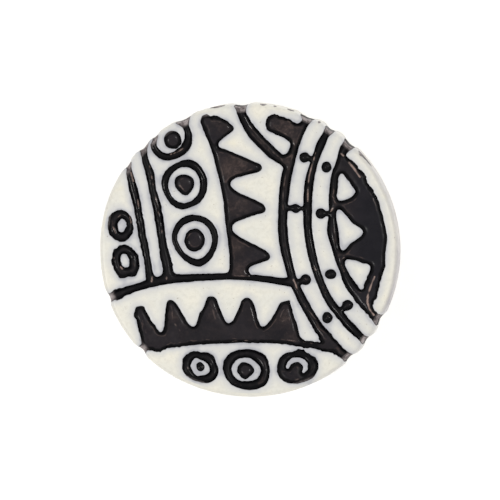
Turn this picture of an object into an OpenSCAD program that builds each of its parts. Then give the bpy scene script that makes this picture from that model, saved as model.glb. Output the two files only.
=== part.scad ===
// Round pressed ink cake: a cream cake with a carved pattern whose recesses hold black ink.
// The cake lies on its flat back, with its domed face up.

/* [Cake] */
// Length across the round face
cake_length = 50.2; // [45:0.1:60]
// Height from the flat back to the top of the dome
cake_height = 11.5; // [9:0.5:16]
// How far the middle of the face stands above its edge
dome_rise = 0.9; // [0.5:0.1:2]
// Radius of the round edge between the face and the side
face_edge_r = 1.6; // [1:0.1:2.5]
// Radius of the round edge between the side and the back
back_edge_r = 0.8; // [0.4:0.1:1.5]
// Height of the mould's parting line, where the side grooves end
parting_z = 4.4; // [3:0.1:5]

/* [Carving] */
// Depth of the carved floors below the face
carve_depth = 0.8; // [0.5:0.05:1.2]
// Depth of the grooves where they run down the side
side_depth = 0.4; // [0.3:0.05:0.8]
// Thickness of the ink on the carved floors
ink_film = 0.2; // [0.1:0.05:0.25]
// Thickness of the stray ink marks on the rim
mark_film = 0.05; // [0.04:0.01:0.1]

/* [Hidden] */

// The carving is drawn for a cake of this length and scaled to the real one
design_length = 50.2;
pattern_scale = cake_length / design_length;

half_length = cake_length / 2;
// The face curves down by dome_rise over the width inside its round edge
dome_edge_r = half_length - face_edge_r;
dome_r = (pow(dome_edge_r, 2) + pow(dome_rise, 2)) / (2 * dome_rise);
// The round edge is drawn this much above the dome, so that the two meet at a clear angle
edge_lift = 0.1;
// Solids that are cut off later are drawn this much too long
overrun = 3;
round_fn = 96;
dome_fn = 256;
curve_steps = 2;
oval_steps = 24;
carve_top = cake_height + overrun;
cream = "ivory";
ink_black = [0.1, 0.09, 0.1];

// ---- Curves ----

// A point on the smooth curve between b and c, with neighbours a and d
function blend(a, b, c, d, t) =
    0.5 * (2 * b + (c - a) * t + (2 * a - 5 * b + 4 * c - d) * t * t
    + (3 * b - a - 3 * c + d) * t * t * t);

// A closed smooth curve through points
function closed_curve(p) =
    let (n = len(p))
    [for (i = [0 : n - 1], k = [0 : curve_steps - 1])
        blend(p[(i + n - 1) % n], p[i], p[(i + 1) % n], p[(i + 2) % n], k / curve_steps)];

// An open smooth curve through points, which may carry a width as a third value
function open_curve(p) =
    let (n = len(p))
    concat([for (i = [0 : n - 2], k = [0 : curve_steps - 1])
        blend(p[max(i - 1, 0)], p[i], p[i + 1], p[min(i + 2, n - 1)], k / curve_steps)],
        [p[n - 1]]);

// The point beside sample i of a curve, half its width to one side
function beside(q, i, side) =
    let (a = q[max(i - 1, 0)], b = q[min(i + 1, len(q) - 1)],
        along = [b.x - a.x, b.y - a.y] / norm([b.x - a.x, b.y - a.y]))
    [q[i].x - side * along.y * q[i].z / 2, q[i].y + side * along.x * q[i].z / 2];

// Twice the signed area of an outline, above zero where it runs counterclockwise
function turning(p) =
    [for (i = [0 : len(p) - 1])
        let (a = p[i], b = p[(i + 1) % len(p)]) a.x * b.y - b.x * a.y]
    * [for (i = p) 1];

// An outline that runs counterclockwise whichever way its points were listed
function counterclockwise(p) =
    turning(p) > 0 ? p : [for (i = [len(p) - 1 : -1 : 0]) p[i]];

// A groove of changing width, along points [x, y, width]
module groove(p) {
    q = open_curve(p);
    n = len(q);
    polygon(counterclockwise(concat([for (i = [0 : n - 1]) beside(q, i, 1)],
        [for (i = [n - 1 : -1 : 0]) beside(q, i, -1)])));
}

// A patch with a smooth outline through points
module patch(p) {
    polygon(counterclockwise(closed_curve(p)));
}

// An oval patch from its centre, its half widths and its turn
module oval_patch(centre, half, turn = 0) {
    translate(centre)
        rotate(turn)
            polygon([for (i = [0 : oval_steps - 1])
                let (a = 360 * i / oval_steps)
                [half.x * cos(a), half.y * sin(a)]]);
}

// ---- Main network: bars, long groove, sawtooth bands, arcs and hook ----

module left_bars() {
    groove([[-20.9, 15.2, 2.2], [-20.2, 14.1, 0.9], [-19.95, 12.6, 0.95], [-19.3, 10, 1.35],
        [-18.6, 7, 1.15], [-18.1, 4, 1.2], [-17.55, 1, 1.2], [-16.95, -2, 1.05],
        [-16.45, -5.6, 1.4]]);
    groove([[-18.1, 17.8, 2.6], [-17.6, 16.4, 1.1], [-17.35, 15, 0.95], [-16.65, 13, 1.35],
        [-16.3, 11.4, 1.2], [-16.1, 10, 1.15], [-15.35, 7, 1.35], [-14.85, 4, 1.35], [-14.45, 1, 1.3],
        [-13.9, -1.5, 1.6], [-13.6, -3.2, 1.6], [-13.65, -5, 1.6]]);
}

module long_groove() {
    groove([[-24.2, -8.4, 1.8], [-22.9, -7.75, 1.3], [-22.1, -7.5, 1.75], [-20.8, -6.95, 1.4],
        [-19, -6.35, 1.2], [-16.5, -5.6, 1.3], [-13.5, -4.95, 1.4], [-10, -4.7, 1.2],
        [-6, -4.5, 1], [-3, -4.45, 0.95], [0, -4.6, 0.9], [3, -4.9, 0.95],
        [5.5, -5.3, 1.1], [7, -5.3, 1.6]]);
}

// Upright band with blunt teeth to the right
module upright_saw() {
    patch([[-3.2, -4.5], [-3.2, -3.1], [-3.25, -1], [-3.5, 1.5], [-3.85, 4], [-4.05, 6.5],
        [-4.4, 9], [-4.9, 11.6], [-5.5, 14], [-6.2, 16.5], [-7, 18.7], [-7.75, 20.6],
        [-7.95, 21.6], [-7.3, 22.4], [-6.2, 22.25], [-5, 21.95], [-3.7, 21.3], [-2.7, 20.5],
        [-2.6, 20], [-3.3, 19.3], [-4.4, 18.6], [-5.15, 17.8], [-5, 17], [-3.8, 16.6],
        [-1.2, 15.5], [0.8, 14.6], [1.9, 14.1], [2.1, 13.4], [1.3, 12.9], [-0.4, 12.5],
        [-2.2, 12], [-3.1, 11.3], [-2.95, 10.4], [-1.8, 9.5], [0, 8.7], [1.6, 7.95],
        [2.55, 7.3], [2.6, 6.4], [1.4, 5.95], [-0.6, 5.3], [-2.3, 4.6], [-2.9, 3.6],
        [-2.3, 2.6], [-0.8, 1.65], [1.2, 0.65], [2.8, -0.2], [3.5, -1.1], [2.9, -1.8],
        [1.2, -2.3], [0, -2.9], [-0.15, -3.6], [0.3, -4.3], [0, -4.8], [-1.5, -4.8]]);
}

// Field at the lower left with blunt teeth that point up
module lower_saw() {
    patch([[-18.7, -9.6], [-17.9, -9.5], [-17.4, -10.1], [-16.6, -11.6], [-15.7, -12.8],
        [-15.1, -13.7], [-14.5, -13.7], [-14.2, -12.7], [-14, -10.6], [-13.75, -8.9],
        [-13.2, -8.4], [-12.4, -8.8], [-11.4, -10.3], [-10.4, -12.1], [-9.6, -12.9],
        [-8.9, -12.6], [-8.4, -11.1], [-7.7, -9.8], [-7.1, -8.4], [-6.6, -7.85],
        [-5.9, -7.95], [-5.3, -9], [-4.6, -10.7], [-4, -12], [-3.4, -12.3], [-2.7, -11.8],
        [-1.9, -10.2], [-1.2, -8.5], [-0.4, -7.95], [0.4, -8.5], [1, -9.9], [1.35, -11.6],
        [1.9, -12.7], [2.6, -12.7], [3.6, -11.6], [4.6, -10], [5.3, -8.8], [6.3, -8.55],
        [6.8, -9], [7.2, -10.6], [8, -13], [8.4, -14.5], [9.1, -15.25], [11, -15.35],
        [12.8, -15.6], [13.8, -16.6], [13, -16.95], [11.8, -16.75], [10.6, -16.4],
        [8.2, -16.15], [5.5, -15.65],
        [2, -15.5], [-1.5, -15.45], [-5, -15.6], [-9, -15.8], [-11.5, -16.2],
        [-13.7, -16.4], [-15.3, -17.1], [-16.4, -16.7], [-17.3, -16.6], [-17.9, -15.6],
        [-18.4, -13.8], [-18.9, -11.6], [-19.25, -10.7]]);
    groove([[-18.6, -17.5, 2.3], [-17.7, -16.5, 1.3], [-16.9, -15.8, 1.2]]);
}

// Two long arcs that cross the face from the top rim to the lower right rim
module long_arcs() {
    groove([[7.9, 17.8, 0.9], [7.5, 16.5, 0.9], [6.9, 14.5, 1.3], [6.3, 12.6, 1.6], [5.95, 10.5, 1.6],
        [5.75, 8.5, 1.5], [5.6, 6, 1.45], [5.6, 3, 1.5], [6, 0, 1.45], [6.7, -3, 1.3],
        [7.45, -5.5, 1.35], [8.6, -8, 1.35], [9.9, -10.3, 1.45], [11.2, -12.6, 1.5],
        [12.8, -14.8, 2.1], [14.6, -16.6, 1.7], [16, -17.7, 1.35], [17.2, -18.8, 2.1]]);
    groove([[14.1, 21.4, 2.2], [13.3, 19.9, 1.5], [12.6, 18.9, 1.05], [11.9, 17.5, 1.4],
        [11.2, 15.6, 1.15], [10.5, 13.5, 1.25], [10, 11.3, 1.4], [9.75, 8.5, 1.4],
        [9.7, 5.5, 1.35], [9.8, 3, 1.25], [10.2, 0.3, 1.3], [10.9, -2.6, 1.25],
        [12, -5.8, 1.2], [13.5, -8.8, 1.25], [15.2, -11, 1.4], [17, -13.1, 1.4],
        [18.5, -14.6, 1.1], [19.4, -15.3, 1.5], [20.3, -16.2, 2.2]]);
}

// Slanting groove from the top rim, and the hooked recess beside it
module top_hook() {
    groove([[-1.4, 25.4, 2.4], [-1.45, 23.9, 1.9], [-1.25, 22.7, 1.4], [-0.55, 21.2, 1.5],
        [0.7, 19.3, 1.75], [2.3, 17.6, 1.75], [4, 16, 1.75], [5.6, 14.8, 1.4], [6.4, 14.2, 1.7]]);
    patch([[2.75, 21.2], [3.2, 22.1], [4.1, 22.6], [5.2, 22.15], [6.5, 21.75], [7.6, 21],
        [8.4, 21.05], [8.9, 21.7], [8.6, 22.6], [8.7, 24], [11.6, 23], [10.6, 21.8],
        [9.7, 20.6], [9, 19.1], [8.3, 17.3], [7.8, 15.4], [7.2, 13.6], [6, 13.2],
        [5.6, 14.6], [5.5, 15.6], [6.2, 15.9], [6.65, 16.6], [6.9, 17.7], [6.2, 18.4],
        [4.9, 19.1], [3.5, 19.6], [2.85, 20.3]]);
}

// Small round pits that reach the arc beside them, each with its neck
module joined_pit(centre, r, neck_end, neck_w) {
    oval_patch(centre, [r, r]);
    groove([[centre.x, centre.y, neck_w], [neck_end.x, neck_end.y, neck_w]]);
}

module arc_pits() {
    joined_pit([9.2, 15.35], 0.82, [10.6, 15], 0.8);
    joined_pit([7.75, 6.85], 0.7, [5.9, 7.1], 0.9);
    joined_pit([7.75, 6.85], 0.7, [9.6, 6.9], 0.6);
    joined_pit([9.35, -4.95], 0.86, [7.9, -5.5], 0.85);
    joined_pit([16.3, -9.25], 0.87, [15, -10.2], 0.8);
}

module main_network_shape() {
    left_bars();
    long_groove();
    long_arcs();
    upright_saw();
    lower_saw();
    top_hook();
    arc_pits();
}

// ---- Crescent at the right ----

module crescent_shape() {
    difference() {
        patch([[16.4, 20], [15.9, 18.2], [15.1, 17], [14.7, 15.2], [14.2, 13.8], [13.75, 12.6],
            [13.4, 10.4], [13.25, 8], [13.3, 6.2], [13.05, 4.2], [13.05, 2.6], [13.7, 0.4],
            [14.3, -1.7], [15, -3.4], [15.7, -5.6], [16.9, -7.6], [18.3, -9.3],
            [19.7, -11], [21, -12.4], [22.1, -13.7], [23.6, -11.6], [22, -11.05], [20.9, -10.4],
            [20.35, -9.3], [20.9, -8.2], [21.3, -7], [21.7, -5.2], [22, -3.9], [22.5, -2.9],
            [22.5, -1], [22.75, 1], [22.8, 2.4], [22.4, 4.4], [21.9, 6.4], [21.3, 8.4],
            [20.4, 9.9], [19.6, 11.2], [19, 12.5], [17.9, 13.8], [17.1, 14.8],
            [16.1, 15.4], [16.2, 16.1], [17.4, 17], [18.4, 17.9]]);
        patch([[15.2, 12.7], [15.7, 12.6], [16.3, 11.7], [16.9, 10.8], [17.6, 10.1],
            [17.6, 9.3], [16.6, 8.5], [15.4, 8.1], [14.7, 8.3], [14.5, 9.1], [14.7, 10.3],
            [14.8, 12]]);
        patch([[14.9, 6.8], [15.5, 6.4], [16.4, 5.4], [17.3, 4.3], [18.5, 3.65], [19, 2.9],
            [18.2, 1.9], [16.8, 1], [16, 0], [15.4, -0.2], [15, 0.6], [14.85, 2.8],
            [14.4, 5.2], [14.45, 6.4]]);
        patch([[16.2, -1.55], [17.6, -1.75], [19, -2.2], [20.1, -2.6], [20, -3.7],
            [19.3, -5.4], [18.8, -6.45], [18.2, -6.4], [17.3, -5.2], [16.3, -3.5], [15.8, -2.3]]);
    }
    joined_pit([11.9, 6.02], 0.83, [13.5, 6], 0.75);
}

// ---- Target rings, ovals and dots ----

module corner_ring_shape() {
    groove([[-16.4, 20.2, 1.8], [-15.75, 18.7, 0.9], [-15.95, 17.4, 0.95], [-15.4, 16.3, 1.05],
        [-14.1, 15.45, 1.1], [-12.7, 15.6, 1.1], [-11.1, 16.45, 1.25], [-10.25, 17.7, 1.35],
        [-10.15, 19.2, 1.1], [-10.55, 20.5, 1], [-11.2, 21.9, 2.7], [-11.6, 22.8, 3]]);
}

module corner_pupil_shape() {
    oval_patch([-12.75, 18.3], [1.42, 1.45]);
}

module upper_ring_shape() {
    difference() {
        patch([[-10.2, 15], [-8.6, 14.4], [-7.4, 12.8], [-6.95, 11], [-7.5, 8.8], [-9, 7.4],
            [-11.3, 6.8], [-13, 7.6], [-14.1, 9.4], [-14.65, 11.2], [-13.9, 13.1], [-12.2, 14.4]]);
        oval_patch([-10.8, 10.8], [2.7, 3.05], -6);
    }
}

module upper_pupil_shape() {
    patch([[-12.45, 11.2], [-11.9, 12.2], [-10.7, 12.5], [-9.6, 12.1], [-9.15, 11.2],
        [-9.4, 10.2], [-10.2, 9.25], [-10.9, 9.1], [-11.9, 10]]);
}

module middle_ring_shape() {
    difference() {
        patch([[-9, 5.8], [-6.9, 5.1], [-5.5, 3.4], [-5.25, 1.2], [-6.1, -1.1], [-7.6, -2.5],
            [-8.8, -2.7], [-10.7, -1.8], [-12.3, 0.2], [-12.85, 2.3], [-12.1, 4.4], [-10.7, 5.5]]);
        patch([[-9, 4.85], [-7.2, 4.1], [-6.2, 2.4], [-6.3, 0.6], [-7.3, -1], [-8.7, -1.65],
            [-10.5, -0.9], [-11.7, 0.7], [-12, 2.4], [-11, 4.1]]);
    }
}

module middle_pupil_shape() {
    oval_patch([-9.1, 1.62], [1.66, 1.87]);
}

module left_oval_upper_shape() {
    difference() {
        oval_patch([-21.5, 4], [2.15, 2.63], 8);
        oval_patch([-21.25, 3.95], [0.78, 1.13]);
    }
}

module left_oval_lower_shape() {
    difference() {
        patch([[-21, 0.8], [-19.6, 0.3], [-18.6, -0.9], [-18.4, -2.6], [-19.1, -4.3],
            [-20.4, -4.5], [-21.7, -4.75], [-22.4, -3.5], [-23.1, -1.7], [-22.4, 0.1]]);
        oval_patch([-20.75, -1.9], [0.88, 1.22], 10);
    }
}

module arc_dot_top_shape() {
    oval_patch([12.83, 13.75], [0.8, 0.88]);
}

module arc_dot_middle_shape() {
    oval_patch([13.5, -4.07], [0.9, 0.8]);
}

module arc_dot_low_shape() {
    oval_patch([12.97, -11.3], [0.88, 0.92]);
}

module bottom_ring_left_shape() {
    difference() {
        patch([[-9.4, -17], [-8.2, -17.2], [-7, -17.15], [-6, -17.8], [-5.6, -19], [-5.2, -20.3],
            [-5.8, -21.6], [-7.2, -22.25], [-9, -21.9], [-10.6, -20.9], [-11.35, -19.3],
            [-10.8, -17.8]]);
        patch([[-9.2, -18.05], [-8.2, -18.25], [-6.9, -19.1], [-6.55, -20.2], [-7.4, -20.95],
            [-8.9, -21.1], [-9.6, -20.3], [-10, -19.2]]);
    }
}

module bottom_pupil_left_shape() {
    oval_patch([-8.25, -19.5], [0.68, 0.7]);
}

module bottom_ring_middle_shape() {
    difference() {
        patch([[-0.6, -16.6], [1.2, -16.9], [2.6, -17.7], [3.15, -19.2], [3.25, -21.2],
            [2.5, -22.6], [1, -23.25], [-1, -23.3], [-3, -22.5], [-4.3, -20.8], [-4.3, -18.6],
            [-2.9, -17.05]]);
        patch([[-0.7, -17.9], [0.9, -18.5], [1.85, -20], [1.3, -21.5], [-0.5, -22.05],
            [-2.3, -21.6], [-3.1, -19.9], [-2.3, -18.4]]);
    }
}

module bottom_pupil_middle_shape() {
    patch([[-0.7, -18.85], [0.4, -19.4], [0.75, -20.3], [0, -21.1], [-0.8, -21.5],
        [-1.7, -20.9], [-2.1, -20], [-1.6, -19.1]]);
}

// A ring whose pupil runs into it, so the cream island is a hook
module bottom_ring_right_shape() {
    difference() {
        patch([[8.1, -16.55], [9.2, -16.9], [10.4, -17.7], [11.3, -18.6], [11.2, -20.3],
            [10, -21.6], [7.8, -22.3], [5.6, -21.9], [4.6, -20.3], [4.8, -18.5], [5.9, -17.3],
            [7.2, -17]]);
        groove([[6.2, -19.85, 0.45], [6.6, -18.9, 0.8], [7.6, -18.35, 0.9], [8.6, -18.5, 0.9],
            [9.2, -19.2, 0.95], [9.15, -20, 0.9], [8.7, -20.65, 0.5]]);
    }
}

// ---- Solids ----

// Height of the dome at a distance from the axis
function dome_z(r) = cake_height - dome_r + sqrt(pow(dome_r, 2) - pow(r, 2));

// Half of the cake's section before the dome is cut, drawn in from the face and from the side
module side_section(face_in, side_in) {
    r = half_length - side_in;
    face_arc_z = dome_z(r - face_edge_r) + edge_lift - face_in - face_edge_r;
    square([r - face_edge_r, carve_top]);
    translate([0, back_edge_r])
        square([r, face_arc_z - back_edge_r]);
    square([r - back_edge_r, cake_height / 2]);
    translate([r - face_edge_r, face_arc_z])
        circle(face_edge_r, $fn = round_fn);
    translate([r - back_edge_r, back_edge_r])
        circle(back_edge_r, $fn = round_fn);
}

// The plain cake, drawn in by face_in below its face and by side_in from its side
module form(face_in, side_in) {
    intersection() {
        rotate_extrude($fn = round_fn)
            intersection() {
                side_section(face_in, side_in);
                square(cake_length);
            }
        translate([0, 0, cake_height - face_in - dome_r])
            rotate([90, 0, 0])
                sphere(dome_r, $fn = dome_fn);
    }
}

// A pattern shape raised from the parting line to above the face
module carved_column() {
    translate([0, 0, parting_z])
        linear_extrude(carve_top - parting_z)
            scale(pattern_scale)
                children();
}

// The ink that covers the floor under a pattern shape
module ink_coat() {
    color(ink_black)
        difference() {
            intersection() {
                form(carve_depth - ink_film, side_depth - ink_film);
                carved_column()
                    children();
            }
            form(carve_depth, side_depth);
        }
}

// What the carver takes out of the cake under a pattern shape
module carved() {
    difference() {
        carved_column()
            children();
        form(carve_depth, side_depth);
    }
}

module body() {
    color(cream)
        difference() {
            form(0, 0);
            carved() main_network_shape();
            carved() crescent_shape();
            carved() corner_ring_shape();
            carved() corner_pupil_shape();
            carved() upper_ring_shape();
            carved() upper_pupil_shape();
            carved() middle_ring_shape();
            carved() middle_pupil_shape();
            carved() left_oval_upper_shape();
            carved() left_oval_lower_shape();
            carved() arc_dot_top_shape();
            carved() arc_dot_middle_shape();
            carved() arc_dot_low_shape();
            carved() bottom_ring_left_shape();
            carved() bottom_pupil_left_shape();
            carved() bottom_ring_middle_shape();
            carved() bottom_pupil_middle_shape();
            carved() bottom_ring_right_shape();
        }
}

module main_network_ink() {
    ink_coat() main_network_shape();
}

module crescent_ink() {
    ink_coat() crescent_shape();
}

module corner_ring_ink() {
    ink_coat() corner_ring_shape();
}

module corner_pupil_ink() {
    ink_coat() corner_pupil_shape();
}

module upper_ring_ink() {
    ink_coat() upper_ring_shape();
}

module upper_pupil_ink() {
    ink_coat() upper_pupil_shape();
}

module middle_ring_ink() {
    ink_coat() middle_ring_shape();
}

module middle_pupil_ink() {
    ink_coat() middle_pupil_shape();
}

module left_oval_upper_ink() {
    ink_coat() left_oval_upper_shape();
}

module left_oval_lower_ink() {
    ink_coat() left_oval_lower_shape();
}

module arc_dot_top_ink() {
    ink_coat() arc_dot_top_shape();
}

module arc_dot_middle_ink() {
    ink_coat() arc_dot_middle_shape();
}

module arc_dot_low_ink() {
    ink_coat() arc_dot_low_shape();
}

module bottom_ring_left_ink() {
    ink_coat() bottom_ring_left_shape();
}

module bottom_pupil_left_ink() {
    ink_coat() bottom_pupil_left_shape();
}

module bottom_ring_middle_ink() {
    ink_coat() bottom_ring_middle_shape();
}

module bottom_pupil_middle_ink() {
    ink_coat() bottom_pupil_middle_shape();
}

module bottom_ring_right_ink() {
    ink_coat() bottom_ring_right_shape();
}

// Stray ink on the rim: angle, length along the rim, height and low edge of each mark
rim_marks = [[38.5, 2.3, 1.2, 8.2], [61, 0.5, 0.8, 8.4], [72.5, 1.2, 0.7, 8.5],
    [79.5, 0.5, 0.6, 8.6], [85.5, 1, 0.7, 8.5], [102.5, 2.2, 0.8, 8.3]];

module rim_marks_ink() {
    color(ink_black)
        intersection() {
            difference() {
                form(0, -mark_film);
                form(0, 0);
            }
            for (m = rim_marks)
                rotate(m[0])
                    translate([half_length - overrun, -m[1] / 2, m[3]])
                        cube([2 * overrun, m[1], m[2]]);
        }
}

body();
main_network_ink();
crescent_ink();
corner_ring_ink();
corner_pupil_ink();
upper_ring_ink();
upper_pupil_ink();
middle_ring_ink();
middle_pupil_ink();
left_oval_upper_ink();
left_oval_lower_ink();
arc_dot_top_ink();
arc_dot_middle_ink();
arc_dot_low_ink();
bottom_ring_left_ink();
bottom_pupil_left_ink();
bottom_ring_middle_ink();
bottom_pupil_middle_ink();
bottom_ring_right_ink();
rim_marks_ink();
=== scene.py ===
import math

import bpy
import numpy as np
from mathutils import Matrix, Vector


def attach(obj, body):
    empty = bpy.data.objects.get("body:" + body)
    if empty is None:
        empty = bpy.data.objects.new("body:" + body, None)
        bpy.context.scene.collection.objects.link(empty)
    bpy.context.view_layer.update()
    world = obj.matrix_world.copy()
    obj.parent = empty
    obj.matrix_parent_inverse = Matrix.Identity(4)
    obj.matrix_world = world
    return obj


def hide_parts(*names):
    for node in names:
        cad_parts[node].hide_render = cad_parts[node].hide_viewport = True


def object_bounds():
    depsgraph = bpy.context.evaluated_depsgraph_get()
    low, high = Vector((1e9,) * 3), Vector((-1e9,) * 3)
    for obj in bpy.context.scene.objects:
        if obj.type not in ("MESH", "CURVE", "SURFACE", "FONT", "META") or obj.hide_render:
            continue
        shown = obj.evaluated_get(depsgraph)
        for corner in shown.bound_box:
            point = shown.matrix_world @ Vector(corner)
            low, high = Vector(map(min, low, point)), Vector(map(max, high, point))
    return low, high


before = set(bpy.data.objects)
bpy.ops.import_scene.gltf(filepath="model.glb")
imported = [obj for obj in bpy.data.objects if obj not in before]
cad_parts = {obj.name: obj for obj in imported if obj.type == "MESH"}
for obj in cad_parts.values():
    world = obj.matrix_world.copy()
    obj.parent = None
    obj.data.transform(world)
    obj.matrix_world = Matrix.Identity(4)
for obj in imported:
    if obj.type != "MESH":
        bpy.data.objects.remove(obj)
cad_low, cad_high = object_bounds()

MM = 0.001

# ---- Shape of the plain cake, in mm ----
TOP_SPARE = 0.003          # left free under the top of the CAD model
CAKE_TOP = cad_high.z / MM - TOP_SPARE
OVAL_CENTRE = np.array([-0.2, -0.155])
OVAL_LONG = 24.97          # half length along the long axis of the slightly oval outline
OVAL_SHORT = 24.45
MEAN_RADIUS = 25           # turns radians into a way round the side
OVAL_TURN = math.radians(-8)
# Swells and dips of the outline: angle and reach in degrees, and height in mm
SWELLS = [
    (68, 8, -0.08), (122, 16, 0.11), (155, 15, 0.09), (180, 9, -0.1), (210, 12, 0.06), (236, 15, 0.1),
    (295, 12, 0.04)]
EDGE_WIDTH = 0.95          # width in plan of the round edge round the face
EDGE_DROP = 1.3            # and its height
FACE_FALL = 0.95           # how far the face curves down to that edge
FACE_POWER = 2.2
PARTING_Z = 4.4            # height of the seam round the side
SEAM_STEP = 0.02           # how far the seam stands out
BACK_EDGE = 0.6            # radius of the round edge at the back
BACK_HOLLOW = 0.05         # depth of the shallow hollow in the back
BACK_DRAFT = 0.6           # how far the wall leans in from the seam to the foot
FACE_DRAFT = 0.12          # how far it leans in from the seam to the rim

# ---- Carving, in mm ----
CARVE_DEPTH = 0.85
WALL_WIDTH = 0.8           # plan width of a carved wall with its fillet
WALL_POWER = 2.3           # how fully the foot of the wall is rounded
SHOULDER_DROP = 0.07       # how far the cream sinks towards the ink
SHOULDER_WIDTH = 0.3
SIDE_DEPTH = 0.48          # depth of the grooves down the side
GROOVE_FOOT = 0.8          # they fade out down to this height
RIM_ROUND = 0.13           # how far the corners beside a groove are rounded off where it crosses the rim
RIM_ROUND_WIDTH = 0.4      # how quickly that ends on the cream
RIM_ROUND_INNER = 0.3      # and inside the groove
INK_END = PARTING_Z + 0.5  # where the ink in the side grooves ends
WALL_INK_Z = 8.8           # below this height a groove's ink counts as ink on the side wall
COAT = 0.08                # thickness of the ink coat
BED = 0.1                  # how far the cake's own surface lies under the top of the coat
RIM_REACH = 24.6           # beyond this radius the carving just runs outwards
PATTERN_FIT = [0.997, 0.995]    # size of the pattern across and up, against the CAD's

# ---- Mesh ----
CELLS = 252                # cells across the face
RASTER_STEP = 0.1          # in mm
RASTER_HALF = 26.0


# ---- Outlines ----
def node_arrays(obj):
    """Vertices in mm and triangles of a CAD node."""
    mesh = obj.data
    co = np.empty(len(mesh.vertices) * 3)
    mesh.vertices.foreach_get("co", co)
    mesh.calc_loop_triangles()
    tri = np.empty(len(mesh.loop_triangles) * 3, dtype=np.int32)
    mesh.loop_triangles.foreach_get("vertices", tri)
    return co.reshape(-1, 3) / MM, tri.reshape(-1, 3)


def plan_border(obj):
    """Border of a node's upward faces seen from above, as (n, 2, 2) line pieces."""
    co, tri = node_arrays(obj)
    _, merged = np.unique(np.round(co, 3), axis=0, return_inverse=True)
    merged = merged.ravel()
    a, b, c = (co[tri[:, k]] for k in range(3))
    normal = np.cross(b - a, c - a)
    size = np.linalg.norm(normal, axis=1)
    up = normal[:, 2] > 0.05 * np.maximum(size, 1e-12)
    t = merged[tri[up]]
    edges = np.concatenate([t[:, [0, 1]], t[:, [1, 2]], t[:, [2, 0]]])
    count = len(co)
    code = edges[:, 0].astype(np.int64) * count + edges[:, 1]
    back = edges[:, 1].astype(np.int64) * count + edges[:, 0]
    alone = edges[~np.isin(code, back)]
    place = np.empty((merged.max() + 1, 2))
    place[merged] = co[:, :2]
    return place[alone]


INK_NODES = [n for n in sorted(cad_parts) if n.endswith("_ink") and n != "rim_marks_ink"]
node_borders = [plan_border(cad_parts[name]) for name in INK_NODES]
border = np.concatenate(node_borders) * PATTERN_FIT
border_node = np.repeat(np.arange(len(INK_NODES)), [len(piece) for piece in node_borders])
on_rim = np.linalg.norm(border, axis=2).min(axis=1) > RIM_REACH
wall = border[~on_rim]
wall_node = border_node[~on_rim]


def groups(code):
    """Indices of the points that share a code, as one array for each code."""
    order = np.argsort(code, kind="stable")
    return np.split(order, np.flatnonzero(np.diff(code[order])) + 1)


def nearest_wall(points, reach=4.5, first_reach=1.2, tile_size=1.5):
    """For each point: distance to the nearest wall line and that line's node."""
    dist = np.full(len(points), reach)
    node = np.full(len(points), -1)
    tile = np.floor(points / tile_size).astype(int)
    low, high = wall.min(axis=1), wall.max(axis=1)
    for idx in groups(tile[:, 0] * 1000 + tile[:, 1]):
        p = points[idx]
        lo, hi = p.min(axis=0), p.max(axis=0)
        for r in (first_reach, reach):
            near = np.flatnonzero(((low < hi + r) & (high > lo - r)).all(axis=1))
            if not len(near):
                continue
            a, b = wall[near, 0], wall[near, 1]
            ab = b - a
            ap = p[:, None, :] - a[None]
            t = (ap * ab).sum(axis=2) / np.maximum((ab * ab).sum(axis=1), 1e-12)
            t = np.clip(t, 0, 1)
            q = a[None] + t[..., None] * ab[None]
            d = np.linalg.norm(p[:, None, :] - q, axis=2)
            best = d.argmin(axis=1)
            rows = np.arange(len(idx))
            dist[idx] = d[rows, best]
            node[idx] = wall_node[near[best]]
            if (dist[idx] < r).all():
                break
    return dist, node


def inside(points, strip_height=0.5):
    """Whether each point lies on ink, by counting the borders to its right."""
    result = np.zeros(len(points), bool)
    y0, y1 = border[:, 0, 1], border[:, 1, 1]
    low, high = np.minimum(y0, y1), np.maximum(y0, y1)
    for idx in groups(np.floor(points[:, 1] / strip_height).astype(int)):
        px, py = points[idx, 0], points[idx, 1]
        near = (low <= py.max()) & (high >= py.min()) & (low != high)
        a, b = border[near, 0], border[near, 1]
        across = (a[None, :, 1] > py[:, None]) != (b[None, :, 1] > py[:, None])
        x = a[:, 0] + (py[:, None] - a[:, 1]) / (b[:, 1] - a[:, 1]) * (b[:, 0] - a[:, 0])
        result[idx] = (across & (x > px[:, None])).sum(axis=1) % 2 == 1
    return result


def clamped(xy):
    """Points drawn in to the reach of the outlines."""
    r = np.linalg.norm(xy, axis=1)
    return xy * np.minimum(1, RIM_REACH / np.maximum(r, 1e-9))[:, None]


# ---- Noise ----
def lattice_noise(xy, size, seed):
    """Smooth noise from -1 to 1 with features of the given size in mm."""
    side = 128
    table = np.random.default_rng(seed).uniform(-1, 1, (side, side))
    q = xy / size + 1000
    i = np.floor(q).astype(int)
    f = q - i
    f = f * f * (3 - 2 * f)
    x0, y0 = (i % side)[..., 0], (i % side)[..., 1]
    x1, y1 = (x0 + 1) % side, (y0 + 1) % side
    fx, fy = f[..., 0], f[..., 1]
    first = table[x0, y0] * (1 - fx) + table[x1, y0] * fx
    second = table[x0, y1] * (1 - fx) + table[x1, y1] * fx
    return first * (1 - fy) + second * fy


def blurred(grid, sigma):
    """A raster blurred by sigma cells."""
    reach = max(1, int(3 * sigma + 0.5))
    weights = np.exp(-0.5 * (np.arange(-reach, reach + 1) / sigma) ** 2)
    weights /= weights.sum()
    for axis in (0, 1):
        grid = sum(w * np.roll(grid, k, axis=axis) for k, w in zip(range(-reach, reach + 1), weights))
    return grid


def greatest_near(grid, reach):
    """The greatest value of a raster within reach cells each way."""
    for axis in (0, 1):
        grid = np.max([np.roll(grid, k, axis=axis) for k in range(-reach, reach + 1)], axis=0)
    return grid


def hill(x, y, middle_x, middle_y, radius):
    """A smooth round hill of height 1."""
    return np.exp(-((x - middle_x) ** 2 + (y - middle_y) ** 2) / radius ** 2)


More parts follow.
